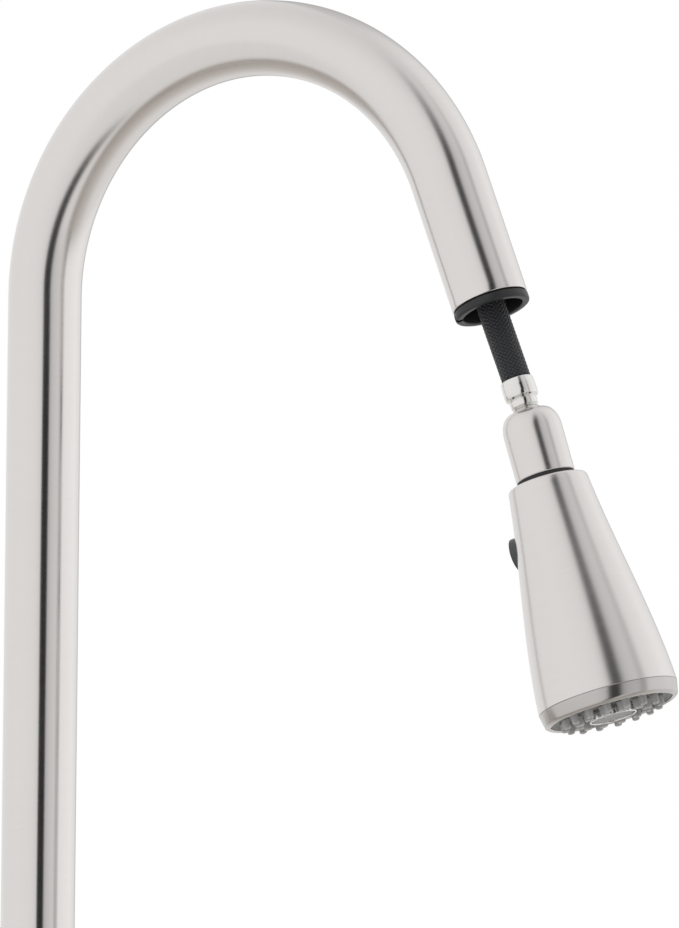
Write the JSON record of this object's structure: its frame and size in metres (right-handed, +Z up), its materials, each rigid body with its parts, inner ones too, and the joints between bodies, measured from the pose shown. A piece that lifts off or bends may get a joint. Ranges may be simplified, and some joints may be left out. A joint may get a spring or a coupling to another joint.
{
  "type": "kitchen faucet",
  "caption": "Single lever kitchen faucet: high-arc swivel spout and a pull-down spray wand on a counterweighted braided hose, with its parts under the deck.",
  "frame": {"origin": "deck surface on the riser's axis", "axes": "+Z up the riser, +X the way the spout reaches, +Y out through the lever"},
  "size_m": [0.3014, 0.0848, 0.8989],
  "materials": {
    "brushed_nickel": "warm brushed nickel",
    "polished_steel": "polished",
    "steel": "zinc plated",
    "brass": "machined",
    "copper": "drawn copper tube",
    "black_rubber": "matt",
    "black_braid": "braided nylon",
    "grey_plastic": "moulded",
    "dark_plastic": "moulded, satin",
    "grey_silicone": "soft, slightly clear",
    "clear_grey_plastic": "moulded grid",
    "white_plastic": "acetal",
    "blue_plastic": "acetal",
    "ceramic": "lapped alumina",
    "magnet": "plastic bonded",
    "cast_weight": "painted"
  },
  "bodies": {
    "base": {"base_gasket": "black_rubber", "base_ring": "brushed_nickel", "valve_body": "brushed_nickel", "shank": "brass", "rubber_washer": "black_rubber", "steel_washer": "steel", "mounting_nut": "brass", "clamp_screws": "steel", "hot_inlet_tube": "copper", "cold_inlet_tube": "copper", "outlet_tube": "copper", "inlet_fittings": "brass", "quick_coupling": "grey_plastic", "hose_tail_fitting": "steel", "cartridge_body": "white_plastic", "cartridge_seal": "black_rubber", "fixed_disc": "ceramic", "bonnet_nut": "brass", "bonnet_dome": "brushed_nickel", "upper_glide_ring": "white_plastic", "lower_glide_ring": "white_plastic", "spout_screw": "steel", "hose_loop": "black_braid"},
    "cartridge_rotor": {"stem_carrier": "blue_plastic", "lift_pin": "steel"},
    "disc_slider": {"moving_disc": "ceramic", "disc_driver": "blue_plastic"},
    "handle": {"lever_stem": "brass", "handle_hub": "brushed_nickel", "handle_lever": "brushed_nickel", "handle_screw": "steel"},
    "spout": {"spout_tube": "brushed_nickel", "spout_foot": "brass", "spout_trim_ring": "brushed_nickel", "dock_collar": "grey_plastic", "dock_magnet": "magnet", "hose_upper": "black_braid"},
    "hose_end": {"hose_ferrule": "polished_steel", "hose_ball": "polished_steel"},
    "ball_socket": {"ball_seat": "white_plastic"},
    "wand": {"wand_neck": "brushed_nickel", "docking_insert": "steel", "inlet_screen": "white_plastic", "check_valve": "white_plastic", "seam_ring": "black_rubber", "wand_shell": "brushed_nickel", "diverter_housing": "white_plastic", "spray_tube": "white_plastic", "spray_chamber": "white_plastic", "bezel_ring": "brushed_nickel", "face_plate": "dark_plastic", "nozzle_pad": "grey_silicone", "aerator_ring": "polished_steel", "aerator_core": "clear_grey_plastic", "diverter_spring": "steel"},
    "button": {"spray_button": "dark_plastic", "diverter_stem": "blue_plastic"},
    "counterweight": {"weight_halves": "cast_weight", "weight_screws": "steel", "hose_drop": "black_braid"}
  },
  "joints": [
    {"name": "spout_swivel", "type": "hinge", "parent": "base", "child": "spout", "pos_m": [0, 0, 0.1], "axis": [0, 0, 1], "continuous": true},
    {"name": "wand_pull", "type": "slide", "parent": "spout", "child": "hose_end", "axis": [0.3518, 0, -0.9361], "range_m": [-0.066, 0.3], "deforming": ["hose_upper"]},
    {"name": "wand_tilt", "type": "hinge", "parent": "hose_end", "child": "ball_socket", "pos_m": [0.21075, 0, 0.3028], "axis": [0, 1, 0], "range_deg": [-3.1, 13.8]},
    {"name": "wand_spin", "type": "hinge", "parent": "ball_socket", "child": "wand", "pos_m": [0.21075, 0, 0.3028], "axis": [0.3024, 0, -0.9532], "continuous": true},
    {"name": "button_press", "type": "slide", "parent": "wand", "child": "button", "axis": [0.9532, 0, 0.3024], "range_m": [0, 0.002], "stiffness_N_per_m": 400, "springref_m": -0.003, "deforming": ["diverter_spring"]},
    {"name": "handle_turn", "type": "hinge", "parent": "base", "child": "cartridge_rotor", "pos_m": [0, 0.0355, 0.054], "axis": [0, -1, 0], "range_deg": [-30, 60]},
    {"name": "handle_lift", "type": "hinge", "parent": "cartridge_rotor", "child": "handle", "pos_m": [0, 0.0355, 0.054], "axis": [-0.5, 0, 0.866], "range_deg": [0, 18]},
    {"name": "disc_slide", "type": "slide", "parent": "cartridge_rotor", "child": "disc_slider", "axis": [0.866, 0, 0.5], "range_m": [0, 0.0022]},
    {"name": "weight_lift", "type": "slide", "parent": "base", "child": "counterweight", "axis": [0, 0, 1], "range_m": [-0.0335, 0.1505], "deforming": ["hose_loop"]}
  ],
  "couplings": [
    {"joint": "wand_tilt", "follows": "wand_pull", "rad_per_m": 0.79333},
    {"joint": "weight_lift", "follows": "wand_pull", "ratio": 0.5},
    {"joint": "disc_slide", "follows": "handle_lift", "m_per_rad": 0.0068}
  ]
}
